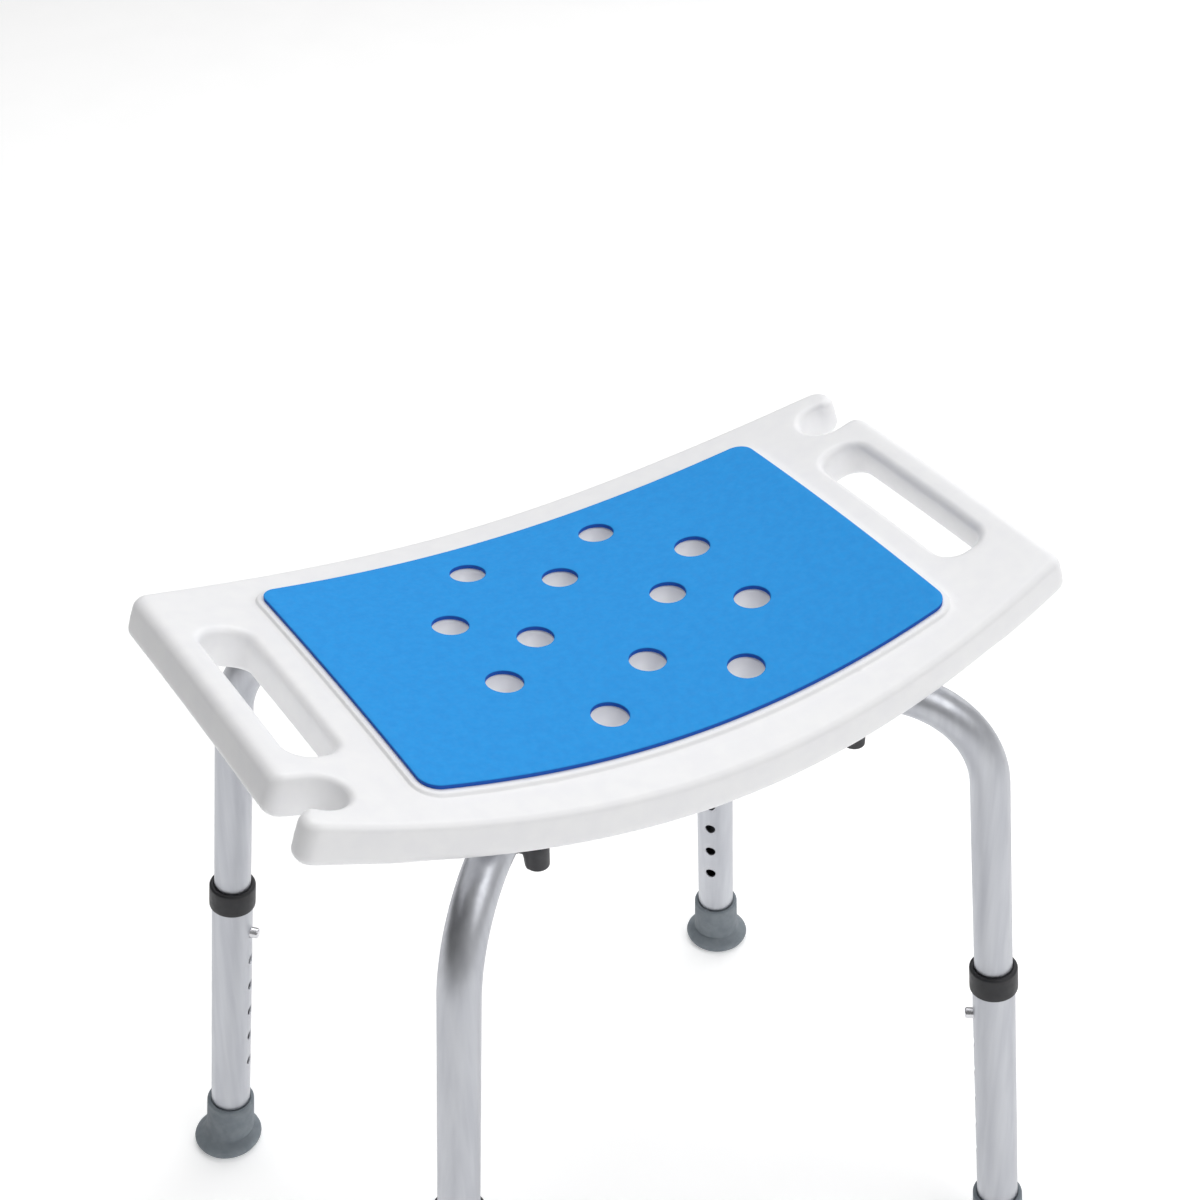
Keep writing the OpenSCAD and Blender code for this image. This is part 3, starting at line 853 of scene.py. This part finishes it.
def surface(name, light, dark, rough, grain, bump, metallic=0.0, wear=None, painted_side_shade=None,
            stretch=(1, 1, 1), **sockets):
    """A procedural finish: mottled colour, uneven gloss and fine relief.

    rough is (least, most); grain is the relief's size and bump its depth, in millimetres.
    wear is a colour for worn edges, and sides is painted shade: a darker colour laid on upright faces,
    such as hole walls, as if they lay in shadow.
    """
    material = bpy.data.materials.new(name)
    material.use_nodes = True
    nodes, links = material.node_tree.nodes, material.node_tree.links
    shader = nodes["Principled BSDF"]
    shader.inputs["Metallic"].default_value = metallic
    for socket, value in sockets.items():
        shader.inputs[socket.replace("_", " ")].default_value = value
    place = nodes.new("ShaderNodeTexCoord")
    scale = nodes.new("ShaderNodeMapping")
    scale.inputs["Scale"].default_value = stretch
    links.new(place.outputs["Object"], scale.inputs["Vector"])

    def noise(size, detail):
        node = nodes.new("ShaderNodeTexNoise")
        node.inputs["Scale"].default_value = 1 / (size * MM)
        node.inputs["Detail"].default_value = detail
        links.new(scale.outputs["Vector"], node.inputs["Vector"])
        return node.outputs["Fac"]

    def remap(value, low, high, to_low, to_high):
        node = nodes.new("ShaderNodeMapRange")
        for socket, number in zip(RANGE_SOCKETS, (low, high, to_low, to_high)):
            node.inputs[socket].default_value = number
        links.new(value, node.inputs["Value"])
        return node.outputs["Result"]

    def mix(factor, a, b):
        node = nodes.new("ShaderNodeMix")
        node.data_type = "RGBA"
        links.new(factor, node.inputs["Factor"])
        for socket, value in (("A", a), ("B", b)):
            target = next(i for i in node.inputs if i.name == socket and i.type == "RGBA")
            if isinstance(value, tuple):
                target.default_value = value
            else:
                links.new(value, target)
        return next(o for o in node.outputs if o.type == "RGBA")

    colour = mix(remap(noise(grain * 14, 3), 0.35, 0.65, 0, 1), dark, light)
    if wear:
        form = nodes.new("ShaderNodeNewGeometry")
        edge = remap(form.outputs["Pointiness"], 0.52, 0.6, 0, 0.5)
        colour = mix(edge, colour, wear)
    # Painted shade: faces that stand upright or face down are mixed towards the darker side colour, as if
    # they lay in shadow.
    if painted_side_shade:
        form = nodes.new("ShaderNodeNewGeometry")
        facing = nodes.new("ShaderNodeSeparateXYZ")
        links.new(form.outputs["Normal"], facing.inputs["Vector"])
        colour = mix(remap(facing.outputs["Z"], 0.2, 0.75, 0, 1), painted_side_shade, colour)
    links.new(colour, shader.inputs["Base Color"])
    links.new(remap(noise(grain * 6, 4), 0.3, 0.7, *rough), shader.inputs["Roughness"])
    relief = nodes.new("ShaderNodeBump")
    relief.inputs["Distance"].default_value = bump * MM
    relief.inputs["Strength"].default_value = 0.6
    links.new(noise(grain, 2), relief.inputs["Height"])
    links.new(relief.outputs["Normal"], shader.inputs["Normal"])
    return material


WHITE = surface("blow_moulded_plastic", linear(246, 246, 247), linear(243, 243, 245),
                rough=(0.34, 0.42), grain=0.9, bump=0.012)
# The darker blue on the foam's upright faces and hole walls is painted shade.
FOAM = surface("blue_foam", linear(22, 152, 231), linear(20, 147, 227),
               rough=(0.72, 0.86), grain=0.45, bump=0.05, painted_side_shade=linear(0, 84, 186))
# The grain is stretched along the tubes, as drawn aluminium's is.
ALUMINIUM = surface("satin_aluminium", linear(194, 196, 201), linear(184, 186, 192),
                    rough=(0.34, 0.44), grain=0.5, bump=0.006, metallic=1.0, stretch=(1, 1, 0.06))
BLACK = surface("dark_plastic", linear(30, 30, 35), linear(26, 26, 30),
                rough=(0.42, 0.56), grain=0.7, bump=0.02, wear=linear(60, 60, 66))
KNOB = surface("knob_plastic", linear(64, 64, 67), linear(56, 56, 59),
               rough=(0.5, 0.65), grain=0.8, bump=0.03, wear=linear(92, 92, 96))
RUBBER = surface("grey_rubber", linear(128, 136, 142), linear(116, 124, 131),
                 rough=(0.6, 0.78), grain=0.6, bump=0.03, wear=linear(158, 165, 170))
STEEL = surface("plated_steel", linear(196, 196, 198), linear(184, 184, 187),
                rough=(0.26, 0.4), grain=0.4, bump=0.004, metallic=1.0, wear=linear(214, 214, 216))
CHROME = surface("button_chrome", linear(222, 222, 225), linear(214, 214, 218),
                 rough=(0.1, 0.2), grain=0.5, bump=0.002, metallic=1.0)
BRASS = surface("insert_brass", linear(214, 186, 118), linear(198, 170, 104),
                rough=(0.3, 0.42), grain=0.4, bump=0.005, metallic=1.0)

# ---- The object ----

build_seat(WHITE)
build_pad(FOAM)
build_frame_tube("frame_tube_a", TURN, 1, ALUMINIUM)
build_frame_tube("frame_tube_b", -TURN, -1, ALUMINIUM)
for leg in LEGS:
    build_lower_tube(leg, ALUMINIUM)
    build_collar(leg, BLACK)
    build_foot(leg, RUBBER)
    build_button(leg, CHROME)
    build_knob(leg, KNOB)

CARRIED_OVER = {"seat_inserts": BRASS, "cross_bolt": STEEL, "cross_nut": STEEL, "cross_saddles": BLACK}
for leg in LEGS:
    CARRIED_OVER["foot_washer_" + leg] = STEEL
    CARRIED_OVER["snap_spring_" + leg] = STEEL
    CARRIED_OVER["knob_screw_" + leg] = STEEL
    CARRIED_OVER["knob_saddle_" + leg] = BLACK
for node, material in CARRIED_OVER.items():
    mesh = frame["nodes"][node].data
    mesh.materials.clear()
    mesh.materials.append(material)

# ---- Floor, light and camera, in metres ----

FLOOR_HALF = 6.0
BRIGHT_SIDE = (0.861, -0.509, 0.0)


def build_floor():
    """A plain white floor that glows a little, so that the light falls off less across it."""
    half = FLOOR_HALF
    mesh = bpy.data.meshes.new("floor")
    corners = [(-half, -half, 0), (half, -half, 0), (half, half, 0), (-half, half, 0)]
    mesh.from_pydata(corners, [], [(0, 1, 2, 3)])
    mesh.materials.append(surface("studio_floor", linear(252, 252, 252), linear(250, 250, 250),
                                  rough=(0.8, 0.9), grain=6, bump=0.02,
                                  Emission_Color=(1, 1, 1, 1), Emission_Strength=0.3))
    floor = bpy.data.objects.new("floor", mesh)
    bpy.context.collection.objects.link(floor)


def soft_light(name, place, size, power, target=(0, 0, 0.45)):
    """A large square lamp, aimed at a target."""
    data = bpy.data.lights.new(name, "AREA")
    data.shape = "SQUARE"
    data.size = size
    data.energy = power
    lamp = bpy.data.objects.new(name, data)
    lamp.location = place
    lamp.rotation_euler = (Vector(target) - Vector(place)).to_track_quat("-Z", "Y").to_euler()
    bpy.context.collection.objects.link(lamp)


def set_camera(place, target, roll, lens):
    """A camera aimed at a target, turned about its own axis by roll degrees."""
    data = bpy.data.cameras.new("camera")
    data.lens = lens
    data.sensor_width = 36.0
    camera = bpy.data.objects.new("camera", data)
    camera.location = place
    turn = (Vector(target) - Vector(place)).to_track_quat("-Z", "Y")
    camera.rotation_euler = turn.to_euler()
    camera.rotation_euler.rotate_axis("Z", math.radians(roll))
    bpy.context.collection.objects.link(camera)
    bpy.context.scene.camera = camera


def build_world(least, most):
    """White surroundings, bright on one side and dim on the other."""
    world = bpy.data.worlds.new("studio")
    world.use_nodes = True
    nodes, links = world.node_tree.nodes, world.node_tree.links
    place = nodes.new("ShaderNodeTexCoord")
    side = nodes.new("ShaderNodeVectorMath")
    side.operation = "DOT_PRODUCT"
    side.inputs[1].default_value = BRIGHT_SIDE
    strength = nodes.new("ShaderNodeMapRange")
    for socket, number in zip(RANGE_SOCKETS, (-1, 1, least, most)):
        strength.inputs[socket].default_value = number
    nodes["Background"].inputs["Color"].default_value = (1, 1, 1, 1)
    links.new(place.outputs["Generated"], side.inputs[0])
    links.new(side.outputs["Value"], strength.inputs["Value"])
    links.new(strength.outputs["Result"], nodes["Background"].inputs["Strength"])
    bpy.context.scene.world = world


build_floor()
soft_light("key", place=(0.9, -2.4, 3.0), size=2.2, power=29)
soft_light("overhead", place=(0.4, 0.9, 3.4), size=2.6, power=54)
soft_light("right_fill", place=(2.6, 1.2, 1.4), size=2.0, power=12)
set_camera(place=(-0.5864, -0.9894, 1.2816), target=(0.0104, 0.0206, 0.506), roll=-0.29, lens=67.12)
build_world(least=0.08, most=0.6)
bpy.context.scene.view_settings.view_transform = "Standard"
